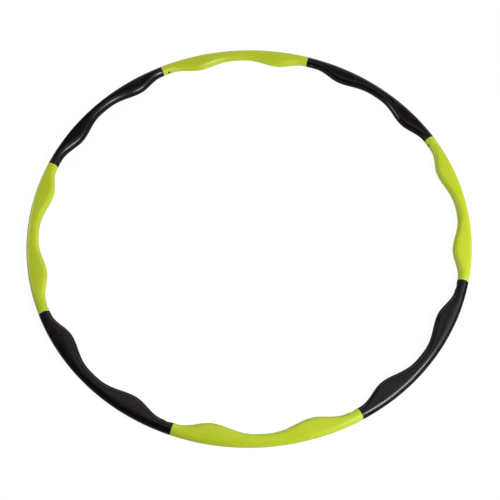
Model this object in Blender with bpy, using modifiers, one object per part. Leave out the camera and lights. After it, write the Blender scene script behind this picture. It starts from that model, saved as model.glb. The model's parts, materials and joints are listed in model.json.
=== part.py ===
"""Take-apart exercise hoop, in metres, +Z up, lying flat with its centre over the origin.

Alike sections meet end to end around the hoop. Each is a waved foam sleeve on a rolled steel
tube, with a moulded plug pinned in its leading end. The plug slides into the next section's
tube, where the button of a folded spring clip snaps out through a hole on the hoop's inner side.
Sections run clockwise from +X, seen from above.
"""

import math

import bmesh
import bpy
from mathutils import Matrix

# Hoop
HOOP_RADIUS = 0.500  # outermost edge of the foam
SECTION_COUNT = 8
SECTION_ANGLE = 2 * math.pi / SECTION_COUNT

# Foam sleeve
FOAM_HEIGHT = 0.024  # also the width of its round necks
SOCKET_BULGE_RISE = 0.0165  # how far the bulge nearer the socket end stands inwards of the neck
PLUG_BULGE_RISE = 0.0175  # the same for the bulge nearer the plug end
VALLEY_RISE = 0.0015  # the same between the two bulges
SOCKET_NECK = 0.026  # straight round neck at the end that takes a plug
PLUG_NECK = 0.005
BULGE_PLACE = 0.205  # a bulge's top, as a share of the waved stretch, from its nearer end
INNER_FLANK_EASE = 1.5  # above 1, the slope towards the valley drops off early

# Steel tube
TUBE_RADIUS = 0.008
TUBE_WALL = 0.0008

# Plug
STUB_LENGTH = 0.025
SPIGOT_LENGTH = 0.025
COLLAR_THICKNESS = 0.002
PLUG_BORE_RADIUS = 0.0050
LEAD_IN = 0.0012  # length of the bevel that guides the spigot in
LEAD_IN_DEPTH = 0.0006

# Spring clip, folded in the plug's bore
CLIP_THICKNESS = 0.0005
CLIP_WIDTH = 0.006
CLIP_FOLD_RADIUS = 0.0012
CLIP_FOLD_SETBACK = 0.012  # from the joint back to the fold's centre
CLIP_TIP_OVERHANG = 0.004  # leg beyond the button's centre
BUTTON_RADIUS = 0.003
BUTTON_DOME = 0.0014  # height of the rounded top
BUTTON_PROUD = 0.0015  # above the tube's outer surface
BUTTON_REACH = 0.014  # from the joint to the button's centre
RIVETED_BACK = 0.0006  # the button's foot, past the middle of its leg
DOME_TURNS = (0, 30, 60, 90)  # degrees round the dome's quarter ellipse, from its top

# Pin through tube and plug
PIN_RADIUS = 0.00125
PIN_INSET = 0.005  # from the stub's end to the pin

# Clearances, each on one side
TOUCHING_GAP = 0.0003
STUB_CLEARANCE = 0.0004
CLIP_CLEARANCE = 0.0002
FACE_GAP = 0.00015  # half the gap between two sections' foam faces
SPIGOT_CLEARANCE = 0.00045
BUTTON_CLEARANCE = 0.0006
FINGER_HOLE_CLEARANCE = 0.0006

# Facets
ARC_STEPS = 16  # along one section
ROUND_SIDES = 12
SMALL_ROUND_SIDES = 10
FOLD_STEPS = 4
SMOOTH_UNDER = math.radians(40)

# Worked-out places
ARC_RADIUS = HOOP_RADIUS - FOAM_HEIGHT / 2  # centre line of the tube
MIDDLE_HEIGHT = FOAM_HEIGHT / 2
TUBE_BORE_RADIUS = TUBE_RADIUS - TUBE_WALL
FOAM_BORE_RADIUS = TUBE_RADIUS + TOUCHING_GAP
TUBE_END = COLLAR_THICKNESS / 2 + TOUCHING_GAP
SPIGOT_TILT = SPIGOT_LENGTH / (2 * ARC_RADIUS)  # chord of the arc that the spigot fills
STUB_TILT = STUB_LENGTH / (2 * ARC_RADIUS)
HALF_SIDE = math.pi / ROUND_SIDES
PIN_SETBACK = STUB_LENGTH - PIN_INSET
CUT_MARGIN = 0.002

# From the bore's axis to the middle of a clip leg's tip, where its edges meet the bore's flats
BORE_FLAT_RADIUS = PLUG_BORE_RADIUS * math.cos(HALF_SIDE)
LEG_REACH = math.sqrt(BORE_FLAT_RADIUS**2 - (CLIP_WIDTH / 2) ** 2)
CLIP_LEG_SPREAD = LEG_REACH - CLIP_THICKNESS / 2 - CLIP_CLEARANCE

# Frames. At a joint, X runs along the hoop to the next section, Y points away from its centre.
JOINT_FRAME = Matrix.Translation((ARC_RADIUS, 0, MIDDLE_HEIGHT)) @ Matrix.Rotation(-math.pi / 2, 4, "Z")
ALONG_X = Matrix.Rotation(math.pi / 2, 4, "Y")
INWARDS = Matrix.Rotation(math.pi / 2, 4, "X")


def clockwise(angle):
    return Matrix.Rotation(-angle, 4, "Z")


def clear_scene():
    for old in list(bpy.data.objects):
        bpy.data.objects.remove(old, do_unlink=True)


def new_collection(name):
    collection = bpy.data.collections.new(name)
    bpy.context.scene.collection.children.link(collection)
    return collection


def new_material(name, colour, roughness, metallic=0.0):
    material = bpy.data.materials.new(name)
    material.use_nodes = True
    surface = material.node_tree.nodes["Principled BSDF"]
    surface.inputs["Base Color"].default_value = (*colour, 1.0)
    surface.inputs["Roughness"].default_value = roughness
    surface.inputs["Metallic"].default_value = metallic
    material.diffuse_color = (*colour, 1.0)
    return material


def object_from(bm, name, collection):
    """Moves a bmesh into a new object with its faces pointing out."""
    bmesh.ops.recalc_face_normals(bm, faces=bm.faces)
    mesh = bpy.data.meshes.new(name)
    bm.to_mesh(mesh)
    bm.free()
    made = bpy.data.objects.new(name, mesh)
    collection.objects.link(made)
    return made


def baked_mesh(shape, name):
    """The object's mesh in world space with its modifiers applied."""
    bpy.context.view_layer.update()
    graph = bpy.context.evaluated_depsgraph_get()
    mesh = bpy.data.meshes.new_from_object(shape.evaluated_get(graph), depsgraph=graph)
    mesh.transform(shape.matrix_world)
    mesh.name = name
    return mesh


def make_helper(shape):
    shape.hide_render = True
    shape.display_type = "WIRE"
    return shape


def boolean(shape, other, operation):
    modifier = shape.modifiers.new(operation.lower(), "BOOLEAN")
    modifier.operation = operation
    modifier.solver = "EXACT"
    modifier.object = other


def turned(name, profile, place, helpers, sides=ROUND_SIDES):
    """A solid turned about its Z axis. The profile runs (radius, height) from top to bottom."""
    mesh = bpy.data.meshes.new(name)
    points = [(radius, 0, height) for radius, height in profile]
    mesh.from_pydata(points, [(i, i + 1) for i in range(len(points) - 1)], [])
    shape = bpy.data.objects.new(name, mesh)
    helpers.objects.link(shape)
    shape.matrix_world = place @ Matrix.Rotation(math.pi / sides, 4, "Z")
    screw = shape.modifiers.new("turn", "SCREW")
    screw.steps = sides
    screw.render_steps = sides
    screw.use_merge_vertices = True
    screw.merge_threshold = 0.00001
    return make_helper(shape)


def cylinder(name, radius, bottom, top, place, helpers, sides=ROUND_SIDES):
    profile = [(0, top), (radius, top), (radius, bottom), (0, bottom)]
    return turned(name, profile, place, helpers, sides)


def arc_tube(name, outer_radius, inner_radius, end_setback, helpers):
    """A tube bent to the hoop, over one section less a setback at both its ends."""
    start = end_setback / ARC_RADIUS
    bm = bmesh.new()
    upright = Matrix.Rotation(math.pi / 2, 4, "X") @ Matrix.Rotation(HALF_SIDE, 4, "Z")
    place = clockwise(start) @ Matrix.Translation((ARC_RADIUS, 0, MIDDLE_HEIGHT)) @ upright
    for radius in (outer_radius, inner_radius):
        bmesh.ops.create_circle(bm, segments=ROUND_SIDES, radius=radius, matrix=place)
    ring = bmesh.ops.bridge_loops(bm, edges=bm.edges[:])
    bmesh.ops.spin(
        bm,
        geom=ring["faces"] + bm.edges[:] + bm.verts[:],
        axis=(0, 0, 1),
        cent=(0, 0, 0),
        angle=-(SECTION_ANGLE - 2 * start),
        steps=ARC_STEPS,
    )
    return make_helper(object_from(bm, name, helpers))


def wave_rise(run):
    """How far the foam stands inwards of its neck, a given run along the arc from the socket end."""
    length = SECTION_ANGLE * ARC_RADIUS
    share = (run - SOCKET_NECK) / (length - SOCKET_NECK - PLUG_NECK)
    from_end = min(share, 1 - share)
    if from_end <= 0:
        return 0.0
    bulge_rise = SOCKET_BULGE_RISE if share < 0.5 else PLUG_BULGE_RISE
    if from_end < BULGE_PLACE:
        return bulge_rise * (1 - math.cos(math.pi * from_end / BULGE_PLACE)) / 2
    down = (from_end - BULGE_PLACE) / (0.5 - BULGE_PLACE)
    height = ((1 + math.cos(math.pi * down)) / 2) ** INNER_FLANK_EASE
    return VALLEY_RISE + (bulge_rise - VALLEY_RISE) * height


def foam_sleeve(helpers):
    """A tube of foam whose inner half is pushed towards the hoop's centre by the wave."""
    outer_radius = FOAM_HEIGHT / 2 / math.cos(HALF_SIDE)
    sleeve = arc_tube("sleeve_shape", outer_radius, FOAM_BORE_RADIUS, FACE_GAP, helpers)
    for vertex in sleeve.data.vertices:
        spot = vertex.co
        distance = math.hypot(spot.x, spot.y)
        off_centre = math.hypot(distance - ARC_RADIUS, spot.z - MIDDLE_HEIGHT)
        if distance < ARC_RADIUS and off_centre > (FOAM_BORE_RADIUS + FOAM_HEIGHT / 2) / 2:
            run = -math.atan2(spot.y, spot.x) * ARC_RADIUS
            pushed = 1 - wave_rise(run) / distance
            spot.x *= pushed
            spot.y *= pushed
    radius = BUTTON_RADIUS + BUTTON_CLEARANCE + FINGER_HOLE_CLEARANCE
    top = FOAM_HEIGHT / 2 + CUT_MARGIN
    bottom = TUBE_BORE_RADIUS - CUT_MARGIN
    hole = cylinder("finger_hole", radius, bottom, top, button_place(), helpers)
    boolean(sleeve, hole, "DIFFERENCE")
    return sleeve


def button_place():
    """At the button, with Z towards the hoop's centre."""
    return JOINT_FRAME @ Matrix.Translation((BUTTON_REACH, 0, 0)) @ INWARDS


def pin_place():
    return JOINT_FRAME @ Matrix.Rotation(STUB_TILT, 4, "Z") @ Matrix.Translation((-PIN_SETBACK, 0, 0))


def core_tube(helpers):
    tube = arc_tube("tube_shape", TUBE_RADIUS, TUBE_BORE_RADIUS, TUBE_END, helpers)
    radius = BUTTON_RADIUS + BUTTON_CLEARANCE
    top = TUBE_RADIUS + CUT_MARGIN
    bottom = PLUG_BORE_RADIUS - CUT_MARGIN
    hole = cylinder("tube_button_hole", radius, bottom, top, button_place(), helpers)
    boolean(tube, hole, "DIFFERENCE")
    place = clockwise(SECTION_ANGLE) @ pin_place()
    boolean(tube, pin_hole("tube_pin_hole", place, helpers), "DIFFERENCE")
    return tube


def pin_hole(name, place, helpers):
    reach = TUBE_RADIUS + CUT_MARGIN
    return cylinder(name, PIN_RADIUS + TOUCHING_GAP, -reach, reach, place, helpers, SMALL_ROUND_SIDES)


def plug(helpers):
    """A collar between two tube ends, a stub pinned in one tube and a spigot for the other."""
    stub_radius = TUBE_BORE_RADIUS - STUB_CLEARANCE
    spigot_radius = TUBE_BORE_RADIUS - SPIGOT_CLEARANCE
    half_collar = COLLAR_THICKNESS / 2
    root = COLLAR_THICKNESS / 4  # inside the collar, where stub and spigot overlap
    collar = cylinder("plug_shape", TUBE_RADIUS, -half_collar, half_collar, JOINT_FRAME @ ALONG_X, helpers)
    stub_frame = JOINT_FRAME @ Matrix.Rotation(STUB_TILT, 4, "Z") @ ALONG_X
    stub = cylinder("stub", stub_radius, -STUB_LENGTH, root, stub_frame, helpers)
    spigot_profile = [
        (0, SPIGOT_LENGTH),
        (spigot_radius - LEAD_IN_DEPTH, SPIGOT_LENGTH),
        (spigot_radius, SPIGOT_LENGTH - LEAD_IN),
        (spigot_radius, -root),
        (0, -root),
    ]
    spigot_frame = JOINT_FRAME @ Matrix.Rotation(-SPIGOT_TILT, 4, "Z") @ ALONG_X
    spigot = turned("spigot", spigot_profile, spigot_frame, helpers)
    bore = cylinder(
        "plug_bore",
        PLUG_BORE_RADIUS,
        -STUB_LENGTH - CUT_MARGIN,
        SPIGOT_LENGTH + CUT_MARGIN,
        JOINT_FRAME @ ALONG_X,
        helpers,
    )
    radius = BUTTON_RADIUS + BUTTON_CLEARANCE
    hole = cylinder("plug_button_hole", radius, 0, TUBE_RADIUS + CUT_MARGIN, button_place(), helpers)
    boolean(collar, stub, "UNION")
    boolean(collar, spigot, "UNION")
    boolean(collar, bore, "DIFFERENCE")
    boolean(collar, hole, "DIFFERENCE")
    boolean(collar, pin_hole("plug_pin_hole", pin_place(), helpers), "DIFFERENCE")
    return collar


def leg_offset(run):
    """From the bore's axis to the middle of a clip leg, a given run from the fold's centre."""
    whole_run = CLIP_FOLD_SETBACK + BUTTON_REACH + CLIP_TIP_OVERHANG
    return CLIP_FOLD_RADIUS + (CLIP_LEG_SPREAD - CLIP_FOLD_RADIUS) * run / whole_run


def snap_clip(helpers):
    """A folded strip with a domed button on its inner leg. The fold's centre is its origin."""
    tip = CLIP_FOLD_SETBACK + BUTTON_REACH + CLIP_TIP_OVERHANG
    path = [(tip, leg_offset(tip))]
    for step in range(FOLD_STEPS + 1):
        turn = math.pi / 2 + math.pi * step / FOLD_STEPS
        path.append((CLIP_FOLD_RADIUS * math.cos(turn), CLIP_FOLD_RADIUS * math.sin(turn)))
    path.append((tip, -leg_offset(tip)))
    bm = bmesh.new()
    line = [bm.verts.new((x, y, -CLIP_WIDTH / 2)) for x, y in path]
    edges = [bm.edges.new(pair) for pair in zip(line, line[1:])]
    wall = bmesh.ops.extrude_edge_only(bm, edges=edges)["geom"]
    raised = [item for item in wall if isinstance(item, bmesh.types.BMVert)]
    bmesh.ops.translate(bm, verts=raised, vec=(0, 0, CLIP_WIDTH))
    clip = make_helper(object_from(bm, "clip_shape", helpers))
    thickness = clip.modifiers.new("thickness", "SOLIDIFY")
    thickness.thickness = CLIP_THICKNESS
    thickness.offset = 0
    thickness.use_even_offset = True
    button_run = CLIP_FOLD_SETBACK + BUTTON_REACH
    top = TUBE_RADIUS + BUTTON_PROUD
    back = leg_offset(button_run) - RIVETED_BACK
    profile = []
    for turn in map(math.radians, DOME_TURNS):
        height = top - BUTTON_DOME * (1 - math.cos(turn))
        profile.append((BUTTON_RADIUS * math.sin(turn), height))
    profile += [(BUTTON_RADIUS, back), (0, back)]
    place = Matrix.Translation((button_run, 0, 0)) @ INWARDS
    boolean(clip, turned("button", profile, place, helpers), "UNION")
    return clip


def plug_pin(helpers):
    reach = TUBE_RADIUS * math.cos(HALF_SIDE)
    return cylinder("pin_shape", PIN_RADIUS, -reach, reach, pin_place(), helpers, SMALL_ROUND_SIDES)


def place_piece(name, mesh, material, world, parent, parts):
    piece = bpy.data.objects.new(name, mesh)
    parts.objects.link(piece)
    piece.parent = parent
    piece.matrix_parent_inverse = parent.matrix_basis.inverted()
    piece.matrix_basis = world
    mesh.materials.clear()
    mesh.materials.append(material)
    mesh.shade_smooth()
    mesh.set_sharp_from_angle(angle=SMOOTH_UNDER)
    return piece


def section_empty(number, parts):
    """On the axis along which this section pulls off the one before it."""
    empty = bpy.data.objects.new(f"section_{number}", None)
    empty.empty_display_size = FOAM_HEIGHT
    parts.objects.link(empty)
    empty.matrix_basis = clockwise((number - 1) * SECTION_ANGLE) @ JOINT_FRAME
    return empty


def main():
    clear_scene()
    parts = new_collection("take_apart_hoop")
    helpers = new_collection("cutters")
    helpers.hide_render = True

    lime = new_material("foam_lime", (0.55, 0.69, 0.03), 0.45)
    black = new_material("foam_black", (0.017, 0.015, 0.016), 0.40)
    steel = new_material("tube_steel", (0.60, 0.61, 0.62), 0.32, 1.0)
    nylon = new_material("plug_nylon", (0.05, 0.05, 0.055), 0.5)
    spring = new_material("clip_spring_steel", (0.62, 0.63, 0.65), 0.25, 1.0)
    bright = new_material("pin_steel", (0.70, 0.70, 0.71), 0.3, 1.0)

    sleeve = foam_sleeve(helpers)
    sleeve_meshes = [baked_mesh(sleeve, name) for name in ("foam_sleeve_black", "foam_sleeve_lime")]
    tube_mesh = baked_mesh(core_tube(helpers), "core_tube")
    plug_mesh = baked_mesh(plug(helpers), "plug")
    clip_mesh = baked_mesh(snap_clip(helpers), "snap_clip")
    pin_mesh = baked_mesh(plug_pin(helpers), "plug_pin")

    empties = [section_empty(number, parts) for number in range(1, SECTION_COUNT + 1)]
    for before, empty in zip(empties, empties[1:]):
        empty.parent = before
        empty.matrix_parent_inverse = before.matrix_basis.inverted()

    for index, empty in enumerate(empties):
        number = index + 1
        own = clockwise(index * SECTION_ANGLE)
        leading = clockwise(number * SECTION_ANGLE)
        is_lime = index % 2
        foam = lime if is_lime else black
        place_piece(f"foam_sleeve_{number}", sleeve_meshes[is_lime], foam, own, empty, parts)
        place_piece(f"core_tube_{number}", tube_mesh, steel, own, empty, parts)
        place_piece(f"plug_{number}", plug_mesh, nylon, leading, empty, parts)
        place_piece(f"plug_pin_{number}", pin_mesh, bright, leading, empty, parts)
        fold = leading @ JOINT_FRAME @ Matrix.Translation((-CLIP_FOLD_SETBACK, 0, 0))
        place_piece(f"snap_clip_{number}", clip_mesh, spring, fold, empty, parts)


main()
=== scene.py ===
# Looks of a take-apart exercise hoop: waved foam covers on rolled steel tubes, joined by pinned
# plugs with spring-clip buttons. Metres, +Z up. The hoop lies flat, centred over the origin.
import json
import math

import bmesh
import bpy
from mathutils import Matrix, Vector, noise

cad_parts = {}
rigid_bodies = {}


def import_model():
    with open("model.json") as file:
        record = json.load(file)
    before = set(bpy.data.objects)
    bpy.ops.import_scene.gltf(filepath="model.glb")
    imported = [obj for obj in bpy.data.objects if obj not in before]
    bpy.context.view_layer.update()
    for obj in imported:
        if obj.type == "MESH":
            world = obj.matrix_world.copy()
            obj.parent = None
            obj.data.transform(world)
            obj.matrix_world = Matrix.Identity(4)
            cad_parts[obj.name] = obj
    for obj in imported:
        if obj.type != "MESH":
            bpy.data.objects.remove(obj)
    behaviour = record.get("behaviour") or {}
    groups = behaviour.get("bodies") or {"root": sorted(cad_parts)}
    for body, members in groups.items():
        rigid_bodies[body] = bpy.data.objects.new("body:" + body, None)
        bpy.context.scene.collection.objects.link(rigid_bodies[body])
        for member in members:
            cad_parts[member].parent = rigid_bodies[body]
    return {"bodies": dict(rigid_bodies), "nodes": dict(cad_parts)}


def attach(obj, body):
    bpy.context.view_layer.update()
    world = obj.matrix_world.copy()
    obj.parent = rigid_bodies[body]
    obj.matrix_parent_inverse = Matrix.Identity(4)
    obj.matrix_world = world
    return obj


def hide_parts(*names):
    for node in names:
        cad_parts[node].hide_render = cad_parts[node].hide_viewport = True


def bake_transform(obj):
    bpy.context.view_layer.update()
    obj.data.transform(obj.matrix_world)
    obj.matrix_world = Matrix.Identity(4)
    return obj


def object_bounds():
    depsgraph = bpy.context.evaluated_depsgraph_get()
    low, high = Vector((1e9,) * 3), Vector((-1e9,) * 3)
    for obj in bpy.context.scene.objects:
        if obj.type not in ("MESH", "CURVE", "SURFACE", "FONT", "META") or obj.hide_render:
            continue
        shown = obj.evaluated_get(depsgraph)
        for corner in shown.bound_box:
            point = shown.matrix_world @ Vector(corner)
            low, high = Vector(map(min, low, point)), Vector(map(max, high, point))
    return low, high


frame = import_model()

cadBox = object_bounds()
print("frame loaded:", len(frame["nodes"]), "nodes")

# the whole hoop, read from the frame
hoop = {"sections": sum(name.startswith("section_") for name in frame["bodies"])}
hoop["height"] = cadBox[1].z - cadBox[0].z  # also the width of a round neck
hoop["middle"] = (cadBox[0].z + cadBox[1].z) / 2
hoop["arcRadius"] = (cadBox[1].x - cadBox[0].x - hoop["height"]) / 2  # centre line of the tubes
hoop["sectionAngle"] = 2 * math.pi / hoop["sections"]

zAxis = Vector((0, 0, 1))
alongHoop = Matrix.Rotation(math.pi / 2, 4, "Y")  # turns a piece made along Z to lie along X
towardsCentre = Matrix.Rotation(math.pi / 2, 4, "X")  # turns Z to point at the hoop's centre


def clockwise(angle):
    return Matrix.Rotation(-angle, 4, "Z")


def jointFrame(number=0):  # X runs on round the hoop, Y points away from its centre, Z is up
    ahead = clockwise(number * hoop["sectionAngle"])
    return ahead @ Matrix.Translation((hoop["arcRadius"], 0, hoop["middle"])) @ clockwise(math.pi / 2)


def chordTilt(length):  # a straight piece lies along the chord of the arc that it fills
    return Matrix.Rotation(length / (2 * hoop["arcRadius"]), 4, "Z")


def smoothShare(value, low, high):
    share = min(max((value - low) / (high - low), 0.0), 1.0)
    return share * share * (3 - 2 * share)


# mesh helpers
def meshObject(bm, name, materials, sharpAngle=40):
    mesh = bpy.data.meshes.new(name)
    bm.to_mesh(mesh)
    bm.free()
    for material in materials:
        mesh.materials.append(material)
    mesh.shade_smooth()
    mesh.set_sharp_from_angle(angle=math.radians(sharpAngle))
    made = bpy.data.objects.new(name, mesh)
    bpy.context.scene.collection.objects.link(made)
    return made


def applyModifiers(piece, sharpAngle=40):
    bpy.context.view_layer.update()
    graph = bpy.context.evaluated_depsgraph_get()
    finished = bpy.data.meshes.new_from_object(piece.evaluated_get(graph), depsgraph=graph)
    rough = piece.data
    piece.modifiers.clear()
    piece.data = finished
    bpy.data.meshes.remove(rough)
    finished.name = piece.name
    finished.shade_smooth()
    finished.set_sharp_from_angle(angle=math.radians(sharpAngle))


def booleanAll(piece, steps):  # steps are (helper, operation) pairs, used up in that order
    for helper, operation in steps:
        cut = piece.modifiers.new(operation.lower(), "BOOLEAN")
        cut.operation = operation
        cut.solver = "EXACT"
        cut.object = helper
    applyModifiers(piece)
    for helper, operation in steps:
        spent = helper.data
        bpy.data.objects.remove(helper)
        bpy.data.meshes.remove(spent)


def lathe(profile, sides, place=Matrix()):  # a solid turned about Z from (radius, height) points
    bm = bmesh.new()
    line = [bm.verts.new((radius, 0, height)) for radius, height in profile]
    edges = [bm.edges.new(pair) for pair in zip(line, line[1:])]
    bmesh.ops.spin(
        bm, geom=line + edges, axis=zAxis, cent=(0, 0, 0), angle=2 * math.pi, steps=sides, use_merge=True
    )
    bmesh.ops.remove_doubles(bm, verts=bm.verts[:], dist=0.000001)
    bmesh.ops.recalc_face_normals(bm, faces=bm.faces[:])
    bmesh.ops.transform(bm, matrix=place, verts=bm.verts[:])
    return bm


def roundOff(bm, edges, width, segments, affect="EDGES"):
    rounded = bmesh.ops.bevel(
        bm, geom=edges, offset=width, affect=affect, segments=segments, profile=0.5, material=-1
    )
    return rounded["faces"]


cutterRoll = Matrix.Rotation(math.radians(2.1), 4, "Z")  # keeps its corners off the edges it crosses
cutterReach = 1.2  # how far a cutter runs past the wall, as a share of the wall's radius


def borer(radius, low, high, place, sides=48, materials=(), materialIndex=0):  # a cutter along Z
    bm = bmesh.new()
    middle = Matrix.Translation((0, 0, (low + high) / 2)) @ cutterRoll
    bmesh.ops.create_cone(
        bm, cap_ends=True, segments=sides, radius1=radius, radius2=radius, depth=high - low,
        matrix=place @ middle,
    )
    for face in bm.faces:
        face.material_index = materialIndex
    return meshObject(bm, "borer", materials)


def bentTube(outerRadius, boreRadius, setback, stretches, sides):  # section 1's arc, less its setbacks
    start = setback / hoop["arcRadius"]
    upright = Matrix.Translation((hoop["arcRadius"], 0, hoop["middle"])) @ towardsCentre
    bm = bmesh.new()
    for radius in (outerRadius, boreRadius):
        bmesh.ops.create_circle(bm, segments=sides, radius=radius, matrix=clockwise(start) @ upright)
    ring = bmesh.ops.bridge_loops(bm, edges=bm.edges[:])
    last = ring["faces"] + bm.edges[:] + bm.verts[:]
    for length, step in stretches:
        turn = -length / hoop["arcRadius"]
        steps = max(1, round(length / step))
        spun = bmesh.ops.spin(bm, geom=last, axis=zAxis, cent=(0, 0, 0), angle=turn, steps=steps)
        last = spun["geom_last"]
    bmesh.ops.recalc_face_normals(bm, faces=bm.faces[:])
    return bm


def ringPlace(spot):  # a point's run along the hoop, turn round the tube and distance from its axis
    outwards = math.hypot(spot.x, spot.y) - hoop["arcRadius"]
    up = spot.z - hoop["middle"]
    run = -math.atan2(spot.y, spot.x) * hoop["arcRadius"]
    return run, math.atan2(up, outwards), math.hypot(outwards, up)


# material helpers
def fillSocket(tree, socket, value):  # with a link or a constant
    if isinstance(value, bpy.types.NodeSocket):
        tree.links.new(value, socket)
    else:
        socket.default_value = value


def addNode(tree, kind, inputs=None, **settings):
    made = tree.nodes.new("ShaderNode" + kind)
    for name, value in settings.items():
        setattr(made, name, value)
    for name, value in (inputs or {}).items():
        fillSocket(tree, made.inputs[name], value)
    return made


def maths(tree, operation, first, second, clamp=False):
    made = addNode(tree, "Math", operation=operation, use_clamp=clamp)
    for socket, value in zip(made.inputs, (first, second)):
        fillSocket(tree, socket, value)
    return made.outputs[0]


def remap(tree, value, fromLow, fromHigh, toLow=0.0, toHigh=1.0):
    inputs = {"Value": value, "From Min": fromLow, "From Max": fromHigh}
    inputs.update({"To Min": toLow, "To Max": toHigh})
    return addNode(tree, "MapRange", inputs).outputs["Result"]


def blendColours(tree, share, first, second):
    made = addNode(tree, "Mix", data_type="RGBA")
    for place, value in ((0, share), (6, first), (7, second)):  # the mix node's colour sockets
        fillSocket(tree, made.inputs[place], value)
    return made.outputs[2]


def newGroup(name, inputs, outputs):
    tree = bpy.data.node_groups.new(name, "ShaderNodeTree")
    for label, kind, value in inputs:
        socket = tree.interface.new_socket(name=label, in_out="INPUT", socket_type="NodeSocket" + kind)
        if value is not None:
            socket.default_value = value
    for label, kind in outputs:
        tree.interface.new_socket(name=label, in_out="OUTPUT", socket_type="NodeSocket" + kind)
    return tree, tree.nodes.new("NodeGroupInput").outputs, tree.nodes.new("NodeGroupOutput").inputs


def groupNode(tree, group, inputs):
    made = tree.nodes.new("ShaderNodeGroup")
    made.node_tree = group
    for name, value in inputs.items():
        fillSocket(tree, made.inputs[name], value)
    return made.outputs


def newMaterial(name, **constants):  # constants go on the Principled node's own sockets
    material = bpy.data.materials.new(name)
    material.use_nodes = True
    surface = material.node_tree.nodes["Principled BSDF"]
    for label, value in constants.items():
        surface.inputs[label.replace("_", " ")].default_value = value
    return material, material.node_tree, surface


def bump(tree, height, distance):
    return addNode(tree, "Bump", {"Height": height, "Distance": distance}).outputs["Normal"]


def noiseField(tree, place, scale, detail, distortion=0.0):
    inputs = {"Vector": place, "Scale": scale, "Detail": detail, "Distortion": distortion}
    return addNode(tree, "TexNoise", inputs).outputs[0]


def cellField(tree, place, scale):
    return addNode(tree, "TexVoronoi", {"Vector": place, "Scale": scale}).outputs["Distance"]


def feed(tree, surface, **sources):
    for label, source in sources.items():
        tree.links.new(source, surface.inputs[label.replace("_", " ")])


# effects that several materials share
def foamSkinGroup():
    tree, given, out = newGroup(
        "foamSkin",
        [
            ("Place", "Vector", None),
            ("Along", "Vector", None),
            ("Foam Colour", "Color", (0.5, 0.5, 0.5, 1)),
            ("Deep Colour", "Color", (0.4, 0.4, 0.4, 1)),
            ("Wear And Rim Light Colour", "Color", (0.6, 0.6, 0.6, 1)),
            ("Wear And Rim Light", "Float", 0.0),
            ("Gloss Roughness", "Float", 0.3),
        ],
        [("Colour", "Color"), ("Roughness", "Float"), ("Height", "Float")],
    )
    cloudy = noiseField(tree, given["Place"], 16.0, 4.0)
    cloudy = remap(tree, cloudy, 0.35, 0.68)
    drawn = addNode(tree, "Mapping", {"Vector": given["Along"], "Scale": (9.0, 420.0, 1.0)}).outputs[0]
    drawn = noiseField(tree, drawn, 1.0, 3.0)
    drawn = remap(tree, drawn, 0.3, 0.7)
    peel = noiseField(tree, given["Place"], 1250.0, 2.0)
    cells = cellField(tree, given["Place"], 950.0)
    pits = remap(tree, cells, 0.16, 0.05)
    sparse = noiseField(tree, given["Place"], 90.0, 1.0)
    pits = maths(tree, "MULTIPLY", pits, remap(tree, sparse, 0.48, 0.6))
    patches = noiseField(tree, given["Place"], 46.0, 5.0)

    shade = maths(tree, "MULTIPLY", cloudy, 0.55)
    shade = maths(tree, "ADD", shade, maths(tree, "MULTIPLY", drawn, 0.4))
    # painted shade: the pits are also coloured towards the deep colour, as the shade inside a pore would
    # look
    shade = maths(tree, "ADD", shade, maths(tree, "MULTIPLY", pits, 0.3), clamp=True)
    colour = blendColours(tree, shade, given["Foam Colour"], given["Deep Colour"])
    # painted highlight: the rubbed colour is lighter, and along the end rims it stands in for light
    # caught by the rounded edge as well as for wear
    rubbedAndRimLit = maths(tree, "MULTIPLY", given["Wear And Rim Light"], remap(tree, patches, 0.32, 0.6), clamp=True)
    colour = blendColours(tree, rubbedAndRimLit, colour, given["Wear And Rim Light Colour"])
    tree.links.new(colour, out["Colour"])

    rough = maths(tree, "ADD", given["Gloss Roughness"], remap(tree, patches, 0.35, 0.7, -0.03, 0.09))
    rough = maths(tree, "ADD", rough, maths(tree, "MULTIPLY", pits, 0.1))
    rough = maths(tree, "ADD", rough, maths(tree, "MULTIPLY", rubbedAndRimLit, 0.25), clamp=True)
    tree.links.new(rough, out["Roughness"])

    height = maths(tree, "MULTIPLY", peel, 0.35)
    height = maths(tree, "ADD", height, maths(tree, "MULTIPLY", drawn, 0.12))
    height = maths(tree, "SUBTRACT", height, maths(tree, "MULTIPLY", pits, 0.35))
    tree.links.new(height, out["Height"])
    return tree


def foamCellsGroup():  # the open cells that a cut through the foam shows
    tree, given, out = newGroup(
        "foamCells",
        [
            ("Place", "Vector", None),
            ("Wall Colour", "Color", (0.5, 0.5, 0.5, 1)),
            ("Shaded Hollow Colour", "Color", (0.2, 0.2, 0.2, 1)),
        ],
        [("Colour", "Color"), ("Height", "Float")],
    )
    coarse = cellField(tree, given["Place"], 1500.0)
    fine = cellField(tree, given["Place"], 3400.0)
    shadedHollow = maths(tree, "ADD", maths(tree, "MULTIPLY", coarse, 0.7), maths(tree, "MULTIPLY", fine, 0.3))
    # painted shade: the hollows of the cells are coloured darker than their walls, as the shade inside
    # them would look
    shadedHollow = remap(tree, shadedHollow, 0.55, 0.2)
    colour = blendColours(tree, shadedHollow, given["Wall Colour"], given["Shaded Hollow Colour"])
    tree.links.new(colour, out["Colour"])
    tree.links.new(maths(tree, "SUBTRACT", 1.0, shadedHollow), out["Height"])
    return tree


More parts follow.
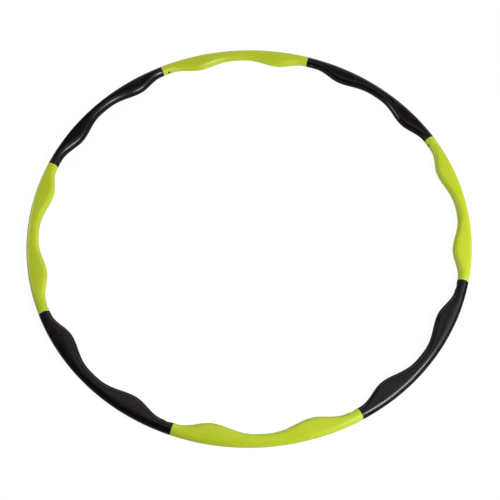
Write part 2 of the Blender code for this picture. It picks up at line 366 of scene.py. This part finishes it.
def metalGrainGroup():  # drawing lines, handling smears and tarnish
    tree, given, out = newGroup(
        "metalGrain",
        [
            ("Place", "Vector", None),
            ("Clean Colour", "Color", (0.6, 0.6, 0.6, 1)),
            ("Tarnish Colour", "Color", (0.3, 0.28, 0.25, 1)),
            ("Base Roughness", "Float", 0.3),
            ("Line Scale", "Vector", (40.0, 40.0, 1600.0)),
            ("Tarnish", "Float", 0.3),
        ],
        [("Colour", "Color"), ("Roughness", "Float"), ("Height", "Float")],
    )
    stretched = addNode(tree, "VectorMath", operation="MULTIPLY")
    tree.links.new(given["Place"], stretched.inputs[0])
    tree.links.new(given["Line Scale"], stretched.inputs[1])
    lines = noiseField(tree, stretched.outputs[0], 1.0, 4.0)
    smears = noiseField(tree, given["Place"], 130.0, 5.0)
    spots = noiseField(tree, given["Place"], 700.0, 3.0)
    dull = maths(tree, "ADD", remap(tree, smears, 0.45, 0.7), remap(tree, spots, 0.62, 0.75))
    dull = maths(tree, "MULTIPLY", dull, given["Tarnish"], clamp=True)
    colour = blendColours(tree, dull, given["Clean Colour"], given["Tarnish Colour"])
    tree.links.new(colour, out["Colour"])
    rough = maths(tree, "ADD", given["Base Roughness"], remap(tree, lines, 0.3, 0.7, -0.06, 0.08))
    rough = maths(tree, "ADD", rough, maths(tree, "MULTIPLY", dull, 0.3), clamp=True)
    tree.links.new(rough, out["Roughness"])
    tree.links.new(maths(tree, "ADD", lines, maths(tree, "MULTIPLY", smears, 0.4)), out["Height"])
    return tree


print("building shared effects")
foamSkin = foamSkinGroup()
foamCells = foamCellsGroup()
metalGrain = metalGrainGroup()

foamColours = {  # the skin, where it is darker, where it is rubbed and given a painted highlight along the end rims, and a cut face's cell walls and hollows, the hollows in painted shade
    "lime": {
        "skin": (0.635, 0.765, 0.03, 1), "deep": (0.57, 0.695, 0.026, 1),
        "wearAndRimLight": (0.7, 0.8, 0.12, 1), "roughness": 0.32,
        "wall": (0.58, 0.7, 0.04, 1), "shadedHollow": (0.42, 0.52, 0.02, 1),
    },
    "black": {
        "skin": (0.008, 0.0045, 0.005, 1), "deep": (0.006, 0.0035, 0.004, 1),
        "wearAndRimLight": (0.03, 0.026, 0.026, 1), "roughness": 0.25,
        "wall": (0.016, 0.014, 0.014, 1), "shadedHollow": (0.003, 0.0028, 0.0028, 1),
    },
}

bumpDepths = {"foamSkin": 0.000025, "foamCut": 0.0003, "metal": 0.00003, "nylon": 0.00006}


def foamSkinMaterial(shade):
    colours = foamColours[shade]
    material, tree, surface = newMaterial(shade + "FoamSkin", IOR=1.5, Specular_IOR_Level=0.5)
    place = addNode(tree, "TexCoord").outputs
    wearAndRimLight = addNode(tree, "Attribute", attribute_name="wearAndRimLight").outputs["Fac"]
    skin = groupNode(tree, foamSkin, {
        "Place": place["Object"], "Along": place["UV"], "Foam Colour": colours["skin"],
        "Deep Colour": colours["deep"], "Wear And Rim Light Colour": colours["wearAndRimLight"], "Wear And Rim Light": wearAndRimLight,
        "Gloss Roughness": colours["roughness"],
    })
    normal = bump(tree, skin["Height"], bumpDepths["foamSkin"])
    feed(tree, surface, Base_Color=skin["Colour"], Roughness=skin["Roughness"], Normal=normal)
    return material


def foamCutMaterial(shade):
    colours = foamColours[shade]
    material, tree, surface = newMaterial(shade + "FoamCut", Roughness=0.85, Specular_IOR_Level=0.25)
    place = addNode(tree, "TexCoord").outputs["Object"]
    cells = groupNode(tree, foamCells, {
        "Place": place, "Wall Colour": colours["wall"], "Shaded Hollow Colour": colours["shadedHollow"],
    })
    normal = bump(tree, cells["Height"], bumpDepths["foamCut"])
    feed(tree, surface, Base_Color=cells["Colour"], Normal=normal)
    return material


def metalMaterial(name, clean, tarnish, roughness, lineScale, dullness):
    material, tree, surface = newMaterial(name, Metallic=1.0)
    place = addNode(tree, "TexCoord").outputs["Object"]
    grain = groupNode(tree, metalGrain, {
        "Place": place, "Clean Colour": clean, "Tarnish Colour": tarnish, "Base Roughness": roughness,
        "Line Scale": lineScale, "Tarnish": dullness,
    })
    normal = bump(tree, grain["Height"], bumpDepths["metal"])
    feed(tree, surface, Base_Color=grain["Colour"], Roughness=grain["Roughness"], Normal=normal)
    return material


def nylonMaterial():
    material, tree, surface = newMaterial("mouldedNylon", IOR=1.53)
    place = addNode(tree, "TexCoord").outputs["Object"]
    grain = noiseField(tree, place, 1900.0, 2.0)
    flow = noiseField(tree, place, 110.0, 3.0, 1.2)
    scuffs = remap(tree, noiseField(tree, place, 420.0, 6.0), 0.58, 0.7)
    flow = remap(tree, flow, 0.3, 0.7)
    colour = blendColours(tree, flow, (0.018, 0.018, 0.020, 1), (0.030, 0.030, 0.033, 1))
    colour = blendColours(tree, maths(tree, "MULTIPLY", scuffs, 0.5), colour, (0.11, 0.11, 0.115, 1))
    rough = remap(tree, flow, 0, 1, 0.36, 0.48)
    rough = maths(tree, "ADD", rough, maths(tree, "MULTIPLY", scuffs, 0.15))
    height = maths(tree, "MULTIPLY", grain, 0.6)
    height = maths(tree, "ADD", height, maths(tree, "MULTIPLY", scuffs, -0.4))
    normal = bump(tree, height, bumpDepths["nylon"])
    feed(tree, surface, Base_Color=colour, Roughness=rough, Normal=normal)
    return material


print("mixing materials")
foamMaterials = {shade: [foamSkinMaterial(shade), foamCutMaterial(shade)] for shade in foamColours}
rolledSteel = metalMaterial(
    "rolledSteel", (0.56, 0.57, 0.58, 1), (0.30, 0.27, 0.23, 1), 0.30, (60.0, 60.0, 900.0), 0.35)
springSteel = metalMaterial(
    "springSteel", (0.66, 0.66, 0.66, 1), (0.42, 0.40, 0.36, 1), 0.38, (70.0, 70.0, 2200.0), 0.25)
pinSteel = metalMaterial(
    "pinSteel", (0.70, 0.70, 0.71, 1), (0.45, 0.43, 0.40, 1), 0.26, (900.0, 900.0, 900.0), 0.3)
mouldedNylon = nylonMaterial()

# foam covers
foamCover = {
    "sides": 108,
    "neckStep": 0.0012,  # between rings, along the neck with the finger hole
    "waveStep": 0.0024,
    "boreRadius": 0.0083,
    "faceGap": 0.00015,  # half the gap between two covers
    "endRound": 0.0007,
    "socketNeck": 0.026,  # straight, round, at the end that takes a plug
    "plugNeck": 0.005,
    "bulgeRises": (0.0165, 0.0175),  # at the socket's end and at the plug's
    "valleyRise": 0.0015,
    "bulgePlace": 0.205,  # a bulge's top, as a share of the waved stretch, from its nearer end
    "innerEase": 1.5,  # above 1, a bulge falls off faster towards the valley
    "flatTurns": (66, 118),  # degrees round the section between which the flat top is drawn out
    "ripple": 0.00014,  # unevenness of a hand-fitted sleeve
    "rippleScale": 28.0,
    "wrinkle": 0.00012,
    "wrinklePitch": 0.0034,
    "wrinkleReach": (0.002, 0.020),  # from an end, where wrinkles are deepest and where they stop
    "wander": 2.2,  # radians by which a wrinkle strays
    "pushedEnd": 0.00022,  # deeper wrinkles, where a cover was pushed up against its neighbour
    "pushedCover": 8,
    "partingRidge": 0.00012,
    "partingWidth": 0.0006,
    "holePlace": 0.014,  # from the joint to the finger hole's centre
    "holeRadius": 0.0042,
    "dimpleReach": 0.0050,
    "dimpleDepth": 0.0009,
    "wearAndRimLightReach": 0.004,  # rubbed skin beside an end or the hole, which along the end rims is also a painted highlight
}


def waveRise(run):  # how far the cover stands inwards of its neck
    plan = foamCover
    length = hoop["sectionAngle"] * hoop["arcRadius"]
    share = (run - plan["socketNeck"]) / (length - plan["socketNeck"] - plan["plugNeck"])
    fromEnd = min(share, 1 - share)
    if fromEnd <= 0:
        return 0.0
    bulgeRise = plan["bulgeRises"][share > 0.5]
    if fromEnd < plan["bulgePlace"]:
        return bulgeRise * (1 - math.cos(math.pi * fromEnd / plan["bulgePlace"])) / 2
    down = (fromEnd - plan["bulgePlace"]) / (0.5 - plan["bulgePlace"])
    height = ((1 + math.cos(math.pi * down)) / 2) ** plan["innerEase"]
    return plan["valleyRise"] + (bulgeRise - plan["valleyRise"]) * height


def skinRise(number, run, turn):  # small unevenness of the skin, outwards, different on each cover
    plan = foamCover
    length = hoop["sectionAngle"] * hoop["arcRadius"]
    spot = Vector((run * plan["rippleScale"], math.cos(turn) + 7.3 * number, math.sin(turn)))
    rise = plan["ripple"] * noise.noise(spot)
    fromPlugEnd = length - run
    fromEnd = min(run, fromPlugEnd)
    depth = plan["wrinkle"]
    if number == plan["pushedCover"] and fromPlugEnd < run:
        depth = plan["pushedEnd"]
    fade = 1 - smoothShare(fromEnd, *plan["wrinkleReach"])
    if fade > 0:
        wander = plan["wander"] * noise.noise(Vector((turn * 1.3, number * 3.1, run * 60)))
        wave = math.sin(2 * math.pi * fromEnd / plan["wrinklePitch"] + wander)
        broken = 0.5 + noise.noise(Vector((turn * 2.1 + 9.0, number * 5.7, run * 160)))
        rise += depth * fade * wave * max(broken, 0.0)
    return rise


def coverPiece(number):
    plan = foamCover
    shade = "black" if number % 2 else "lime"
    materials = foamMaterials[shade]
    radius = hoop["height"] / 2
    length = hoop["sectionAngle"] * hoop["arcRadius"] - 2 * plan["faceGap"]
    neck = plan["socketNeck"] - plan["faceGap"]
    stretches = [(neck, plan["neckStep"]), (length - neck - plan["plugNeck"], plan["waveStep"])]
    stretches.append((plan["plugNeck"], plan["neckStep"]))
    bm = bentTube(radius, plan["boreRadius"], plan["faceGap"], stretches, plan["sides"])

    edgeBand = 0.0005
    caps = []
    for face in bm.faces:
        away = ringPlace(face.calc_center_median())[2]
        face.material_index = int(away < radius - edgeBand)
        if plan["boreRadius"] + edgeBand < away < radius - edgeBand:
            caps.append(face)
    rims = [
        edge for face in caps for edge in face.edges
        if all(ringPlace(corner.co)[2] > radius - edgeBand / 5 for corner in edge.verts)
    ]
    for face in roundOff(bm, rims, plan["endRound"], 4):
        face.material_index = 0

    alongSkin = bm.loops.layers.uv.new("alongSkin")
    wearAndRimLight = bm.verts.layers.float.new("wearAndRimLight")
    places = {}
    for corner in bm.verts:
        places[corner] = ringPlace(corner.co)
    for face in bm.faces:
        turns = [(places[loop.vert][1] + math.pi / 2) % (2 * math.pi) for loop in face.loops]
        wraps = max(turns) - min(turns) > math.pi
        for loop, turn in zip(face.loops, turns):
            if wraps and turn < math.pi:
                turn += 2 * math.pi
            loop[alongSkin].uv = (places[loop.vert][0] + number * 0.7, turn * radius)

    low, high = (math.radians(turn) for turn in plan["flatTurns"])
    skinFrom = (plan["boreRadius"] + radius) / 2
    for corner, (run, turn, away) in places.items():
        if away < skinFrom:
            continue
        away += skinRise(number, run, turn)
        offAxis = math.hypot(run - plan["holePlace"], radius * math.sin(turn))
        inner = math.cos(turn) < 0
        if inner:
            fade = 1 - smoothShare(offAxis - plan["holeRadius"], 0, plan["dimpleReach"])
            away -= plan["dimpleDepth"] * fade
        seam = math.exp(-((radius * math.sin(turn) / plan["partingWidth"]) ** 2))
        away += plan["partingRidge"] * seam
        push = waveRise(run) * smoothShare(abs(turn), low, high)
        distance = hoop["arcRadius"] + away * math.cos(turn) - push
        angle = -run / hoop["arcRadius"]
        corner.co = (
            distance * math.cos(angle),
            distance * math.sin(angle),
            hoop["middle"] + away * math.sin(turn),
        )
        # lighter, rubbed skin near the ends and round the finger hole; along the end rims this is also a
        # painted highlight
        fromEnd = min(run, length + 2 * plan["faceGap"] - run)
        wornAndRimLit = 1 - smoothShare(fromEnd, plan["endRound"], plan["wearAndRimLightReach"])
        if inner:
            fromHole = offAxis - plan["holeRadius"]
            wornAndRimLit = max(wornAndRimLit, 1 - smoothShare(fromHole, 0, plan["wearAndRimLightReach"]))
        corner[wearAndRimLight] = wornAndRimLit

    cover = meshObject(bm, f"foamCover{number}", materials)
    holeFrame = jointFrame() @ Matrix.Translation((plan["holePlace"], 0, 0)) @ towardsCentre
    low, high = plan["boreRadius"] * 0.7, radius * 1.3
    hole = borer(plan["holeRadius"], low, high, holeFrame, 56, materials, materialIndex=1)
    booleanAll(cover, [(hole, "DIFFERENCE")])
    cover.data.transform(clockwise((number - 1) * hoop["sectionAngle"]))
    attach(cover, f"section_{number}")
    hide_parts(f"foam_sleeve_{number}")
    return cover


# steel tubes
rolledTube = {
    "radius": 0.008,
    "wall": 0.0008,
    "setback": 0.0013,  # from the joint to the tube's end
    "sides": 48,
    "step": 0.0085,
    "deburr": 0.00015,
    "buttonHole": 0.0036,
    "buttonPlace": 0.014,
    "pinHole": 0.00155,
    "pinPlace": 0.020,  # from the next joint back to the pin
    "stubLength": 0.025,
}


def pinFrame(number=0):
    back = Matrix.Translation((-rolledTube["pinPlace"], 0, 0))
    return jointFrame(number) @ chordTilt(rolledTube["stubLength"]) @ back


def tubePiece(number):
    plan = rolledTube
    radius, bore = plan["radius"], plan["radius"] - plan["wall"]
    length = hoop["sectionAngle"] * hoop["arcRadius"] - 2 * plan["setback"]
    bm = bentTube(radius, bore, plan["setback"], [(length, plan["step"])], plan["sides"])
    rims = [edge for edge in bm.edges if edge.calc_face_angle(0) > math.radians(70)]
    roundOff(bm, rims, plan["deburr"], 2)
    tube = meshObject(bm, f"rolledTube{number}", [rolledSteel], 50)
    buttonFrame = jointFrame() @ Matrix.Translation((plan["buttonPlace"], 0, 0)) @ towardsCentre
    reach = radius * cutterReach
    buttonHole = borer(plan["buttonHole"], bore / 2, reach, buttonFrame)
    pinHole = borer(plan["pinHole"], -reach, reach, pinFrame(1), 32)
    booleanAll(tube, [(buttonHole, "DIFFERENCE"), (pinHole, "DIFFERENCE")])
    tube.data.transform(clockwise((number - 1) * hoop["sectionAngle"]))
    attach(tube, f"section_{number}")
    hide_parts(f"core_tube_{number}")
    return tube


# moulded plugs
joiningPlug = {
    "collarRadius": 0.008,
    "collarHalf": 0.001,
    "root": 0.0005,
    "stubRadius": 0.0068,
    "stubLength": 0.025,
    "spigotRadius": 0.00675,
    "spigotLength": 0.025,
    "leadIn": 0.0012,  # taper at the spigot's tip
    "leadInDepth": 0.0006,
    "softEdge": 0.0002,
    "boreRadius": 0.0050,
    "buttonHole": 0.0036,
    "buttonPlace": 0.014,
    "pinHole": 0.00155,
    "ribs": 6,
    "ribHeight": 0.00022,
    "ribHalfAngle": 4,  # degrees
    "ribSetback": 0.0030,
    "ribSlope": 0.0008,
    "sides": 90,
}


def ribbedRod(name, radius, length, tip, place):  # one half of the plug, with its tip at +Z
    plan = joiningPlug
    root = -plan["root"]
    ribTop = length - plan["ribSetback"]
    profile = [(0, length)] + tip
    profile += [(radius, ribTop + plan["ribSlope"]), (radius, ribTop), (radius, root), (0, root)]
    bm = lathe(profile, plan["sides"])
    spacing = 360 / plan["ribs"]
    for corner in bm.verts:
        around = math.degrees(math.atan2(corner.co.y, corner.co.x)) % spacing
        onRib = abs(around - spacing / 2) <= plan["ribHalfAngle"] + 0.1
        if onRib and corner.co.z < ribTop + plan["ribSlope"] / 2 and corner.co.xy.length > radius * 0.9:
            corner.co.xy *= 1 + plan["ribHeight"] / radius
    bmesh.ops.transform(bm, matrix=place, verts=bm.verts[:])
    return meshObject(bm, name, [mouldedNylon])


def plugPiece(number):
    plan = joiningPlug
    edge, half, collarRadius = plan["softEdge"], plan["collarHalf"], plan["collarRadius"]
    profile = [(0, half), (collarRadius - edge, half), (collarRadius, half - edge)]
    profile += [(radius, -height) for radius, height in reversed(profile)]
    place = jointFrame()
    collar = lathe(profile, plan["sides"], place @ alongHoop)
    plug = meshObject(collar, f"joiningPlug{number}", [mouldedNylon])

    stubRadius, spigotRadius = plan["stubRadius"], plan["spigotRadius"]
    stubTip = [(stubRadius - edge, plan["stubLength"]), (stubRadius, plan["stubLength"] - edge)]
    spigotEnd = plan["spigotLength"]
    spigotTip = [
        (spigotRadius - plan["leadInDepth"] - edge, spigotEnd),
        (spigotRadius - plan["leadInDepth"], spigotEnd - edge),
        (spigotRadius, spigotEnd - plan["leadIn"]),
    ]
    backwards = place @ chordTilt(plan["stubLength"]) @ Matrix.Rotation(math.pi, 4, "Z") @ alongHoop
    forwards = place @ chordTilt(-plan["spigotLength"]) @ alongHoop
    stub = ribbedRod("stub", stubRadius, plan["stubLength"], stubTip, backwards)
    spigot = ribbedRod("spigot", spigotRadius, plan["spigotLength"], spigotTip, forwards)
    low, high = -1.1 * plan["stubLength"], 1.1 * plan["spigotLength"]
    bore = borer(plan["boreRadius"], low, high, place @ alongHoop, 64)
    buttonFrame = place @ Matrix.Translation((plan["buttonPlace"], 0, 0)) @ towardsCentre
    reach = collarRadius * cutterReach
    buttonHole = borer(plan["buttonHole"], 0, reach, buttonFrame)
    pinHole = borer(plan["pinHole"], -reach, reach, pinFrame(), 32)
    steps = [(stub, "UNION"), (spigot, "UNION")]
    booleanAll(plug, steps + [(cutter, "DIFFERENCE") for cutter in (bore, buttonHole, pinHole)])
    plug.data.transform(clockwise(number * hoop["sectionAngle"]))
    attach(plug, f"section_{number}")
    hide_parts(f"plug_{number}")
    return plug


# cross pins
crossPin = {"radius": 0.00125, "halfLength": 0.0079, "crown": 0.00018, "sides": 32, "crownRings": 4}


def pinPiece(number):
    plan = crossPin
    half = []
    for ring in range(plan["crownRings"] + 1):
        turn = math.pi / 2 * ring / plan["crownRings"]
        drop = plan["crown"] * (1 - math.cos(turn))
        half.append((plan["radius"] * math.sin(turn), plan["halfLength"] - drop))
    profile = half + [(radius, -height) for radius, height in reversed(half)]
    bm = lathe(profile, plan["sides"], pinFrame(number))
    pin = meshObject(bm, f"crossPin{number}", [pinSteel])
    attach(pin, f"section_{number}")
    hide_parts(f"plug_pin_{number}")
    return pin


# spring clips
springClip = {
    "thickness": 0.0005,
    "width": 0.006,
    "foldRadius": 0.0012,
    "foldSetback": 0.012,  # from the joint back to the fold's centre
    "legSpread": 0.0033,  # from the bore's axis to the middle of a leg's tip
    "tipOverhang": 0.004,
    "tipCorner": 0.0012,
    "foldSteps": 14,
    "bendShare": 0.75,  # share of the fold's radius on either side over which the clip bends
    "softEdge": 0.00008,
    "buttonRadius": 0.003,
    "buttonDome": 0.0014,
    "buttonTop": 0.0095,  # from the bore's axis
    "buttonPlace": 0.014,
    "foot": 0.0006,  # how far the button reaches into its leg
    "sides": 48,
    "domeRings": 8,
}


def stripStep(bm, edge, target):  # extrudes the strip's end edge to a new (x, y)
    grown = bmesh.ops.extrude_edge_only(bm, edges=[edge])["geom"]
    corners = [item for item in grown if isinstance(item, bmesh.types.BMVert)]
    for corner in corners:
        corner.co.x, corner.co.y = target
    edges = [item for item in grown if isinstance(item, bmesh.types.BMEdge)]
    return next(grownEdge for grownEdge in edges if set(grownEdge.verts) == set(corners))


def clipPiece(number):
    plan = springClip
    run = plan["foldSetback"] + plan["buttonPlace"]
    tip = run + plan["tipOverhang"]
    half = plan["width"] / 2
    bm = bmesh.new()
    ends = [bm.verts.new((tip, plan["legSpread"], side)) for side in (-half, half)]
    edge = stripStep(bm, bm.edges.new(ends), (0, plan["foldRadius"]))
    folded, steps = [edge] + list(edge.verts), plan["foldSteps"]
    spun = bmesh.ops.spin(bm, geom=folded, axis=zAxis, cent=(0, 0, 0), angle=math.pi, steps=steps)
    edge = next(item for item in spun["geom_last"] if isinstance(item, bmesh.types.BMEdge))
    stripStep(bm, edge, (tip, -plan["legSpread"]))
    corners = [corner for corner in bm.verts if corner.co.x > run]
    roundOff(bm, corners, plan["tipCorner"], 4, "VERTICES")
    bmesh.ops.recalc_face_normals(bm, faces=bm.faces[:])
    clip = meshObject(bm, f"springClip{number}", [springSteel])
    wall = clip.modifiers.new("strip", "SOLIDIFY")
    wall.thickness = plan["thickness"]
    wall.offset = 0
    wall.use_even_offset = True
    applyModifiers(clip)

    radius, edge = plan["buttonRadius"], plan["softEdge"]
    profile = []
    for ring in range(plan["domeRings"] + 1):
        turn = math.pi / 2 * ring / plan["domeRings"]
        height = plan["buttonTop"] - plan["buttonDome"] * (1 - math.cos(turn))
        profile.append((radius * math.sin(turn), height))
    legHeight = plan["foldRadius"] + (plan["legSpread"] - plan["foldRadius"]) * run / tip
    back = legHeight - plan["foot"]
    profile += [(radius, back + edge), (radius - edge, back), (0, back)]
    place = Matrix.Translation((run, 0, 0)) @ towardsCentre
    button = meshObject(lathe(profile, plan["sides"], place), "button", [springSteel])
    booleanAll(clip, [(button, "UNION")])
    soften = clip.modifiers.new("soften", "BEVEL")
    soften.width = plan["softEdge"]
    soften.segments = 2
    soften.limit_method = "ANGLE"
    soften.angle_limit = math.radians(50)
    applyModifiers(clip)

    fold = jointFrame(number) @ Matrix.Translation((-plan["foldSetback"], 0, 0))
    clip.data.transform(fold)
    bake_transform(clip)
    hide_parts(f"snap_clip_{number}")
    return clip


for number in range(1, hoop["sections"] + 1):
    coverPiece(number)
    tubePiece(number)
    plugPiece(number)
    pinPiece(number)
    clipPiece(number)
    print("section", number, "made")

# camera and studio. The studio is turned with the camera, so X is to its right and Y away from it.
cameraPlan = {
    "lens": 48.1,
    "turn": 18.67,
    "tilt": 25.87,  # degrees from straight down
    "roll": -0.77,
    "aside": (0.0020, -0.0654),  # the hoop's centre isn't quite in the middle of the view
    "away": 1.5167,
}
studioTurn = Matrix.Rotation(math.radians(cameraPlan["turn"]), 4, "Z")
hoopCentre = Matrix.Translation((0, 0, hoop["middle"]))


def makeCamera():
    plan = cameraPlan
    camera = bpy.data.objects.new("camera", bpy.data.cameras.new("camera"))
    camera.data.lens = plan["lens"]
    camera.data.sensor_width = 36.0
    camera.data.clip_start = 0.01
    tilt = Matrix.Rotation(math.radians(plan["tilt"]), 4, "X")
    roll = Matrix.Rotation(math.radians(plan["roll"]), 4, "Z")
    stand = Matrix.Translation((*plan["aside"], plan["away"]))
    camera.matrix_world = hoopCentre @ studioTurn @ tilt @ stand @ roll
    bpy.context.scene.collection.objects.link(camera)
    bpy.context.scene.camera = camera


studioLights = {  # where each hangs, its lean about the line to the hoop's centre, its size and watts
    "keyStrip": {"at": (1.64, -1.14, 1.66), "lean": -48, "size": (0.6, 1.35), "power": 53},
    "leftPanel": {"at": (-2.34, 0.85, 0.74), "lean": 0, "size": (1.4, 0.9), "power": 20},
    "backStrip": {"at": (0.43, 2.44, 0.85), "lean": 0, "size": (3.6, 1.1), "power": 15},
    "rightPanel": {"at": (1.84, 0.0, 1.84), "lean": 0, "size": (1.4, 1.4), "power": 8},
    "topPanel": {"at": (0.0, 0.5, 2.2), "lean": 0, "size": (1.8, 1.4), "power": 4},
}


def makeLights():
    for name, plan in studioLights.items():
        lamp = bpy.data.lights.new(name, "AREA")
        lamp.shape = "RECTANGLE"
        lamp.size, lamp.size_y = plan["size"]
        lamp.energy = plan["power"]
        stand = bpy.data.objects.new(name, lamp)
        facing = Vector(plan["at"]).to_track_quat("Z", "Y").to_matrix().to_4x4()
        lean = Matrix.Rotation(math.radians(plan["lean"]), 4, "Z")
        stand.matrix_world = studioTurn @ Matrix.Translation(plan["at"]) @ facing @ lean
        stand.visible_camera = False
        bpy.context.scene.collection.objects.link(stand)


studioFloor = {
    "size": 6.0,
    "drop": 0.0003,
    "glow": 0.96,  # as the camera sees it, with the share of light below added
    "lit": 0.07,
    "bounce": 0.9,  # as the foam is lit by it
    "mirrored": 0.21,  # as it shows in the foam's gloss
    "room": 0.0,
}


def makeFloor():
    plan = studioFloor
    bm = bmesh.new()
    low = Matrix.Translation((0, 0, cadBox[0].z - plan["drop"]))
    bmesh.ops.create_grid(bm, x_segments=2, y_segments=2, size=plan["size"], matrix=low)
    paper = bpy.data.materials.new("whitePaper")
    paper.use_nodes = True
    tree = paper.node_tree
    tree.nodes.clear()
    glow = addNode(tree, "Emission", {"Strength": plan["glow"]})
    lit = addNode(tree, "BsdfDiffuse", {"Color": (plan["lit"],) * 3 + (1,)})
    seen = addNode(tree, "AddShader")
    tree.links.new(glow.outputs[0], seen.inputs[0])
    tree.links.new(lit.outputs[0], seen.inputs[1])
    path = addNode(tree, "LightPath").outputs
    strength = remap(tree, path["Is Diffuse Ray"], 0.0, 1.0, plan["mirrored"], plan["bounce"])
    bounce = addNode(tree, "Emission", {"Strength": strength})
    choice = addNode(tree, "MixShader", {"Fac": path["Is Camera Ray"]})
    tree.links.new(bounce.outputs[0], choice.inputs[1])
    tree.links.new(seen.outputs[0], choice.inputs[2])
    tree.links.new(choice.outputs[0], addNode(tree, "OutputMaterial").inputs["Surface"])
    meshObject(bm, "studioFloor", [paper])


def makeRoom():
    world = bpy.data.worlds.new("studioRoom")
    world.use_nodes = True
    tree = world.node_tree
    tree.nodes.clear()
    paper = addNode(tree, "Background", {"Color": (1, 1, 1, 1), "Strength": studioFloor["glow"]})
    dim = addNode(tree, "Background", {"Color": (1, 1, 1, 1), "Strength": studioFloor["room"]})
    choice = addNode(tree, "MixShader", {"Fac": addNode(tree, "LightPath").outputs["Is Camera Ray"]})
    tree.links.new(dim.outputs[0], choice.inputs[1])
    tree.links.new(paper.outputs[0], choice.inputs[2])
    tree.links.new(choice.outputs[0], addNode(tree, "OutputWorld").inputs["Surface"])
    bpy.context.scene.world = world


makeCamera()
makeLights()
makeFloor()
makeRoom()
bpy.context.scene.view_settings.view_transform = "Standard"
print("studio set")
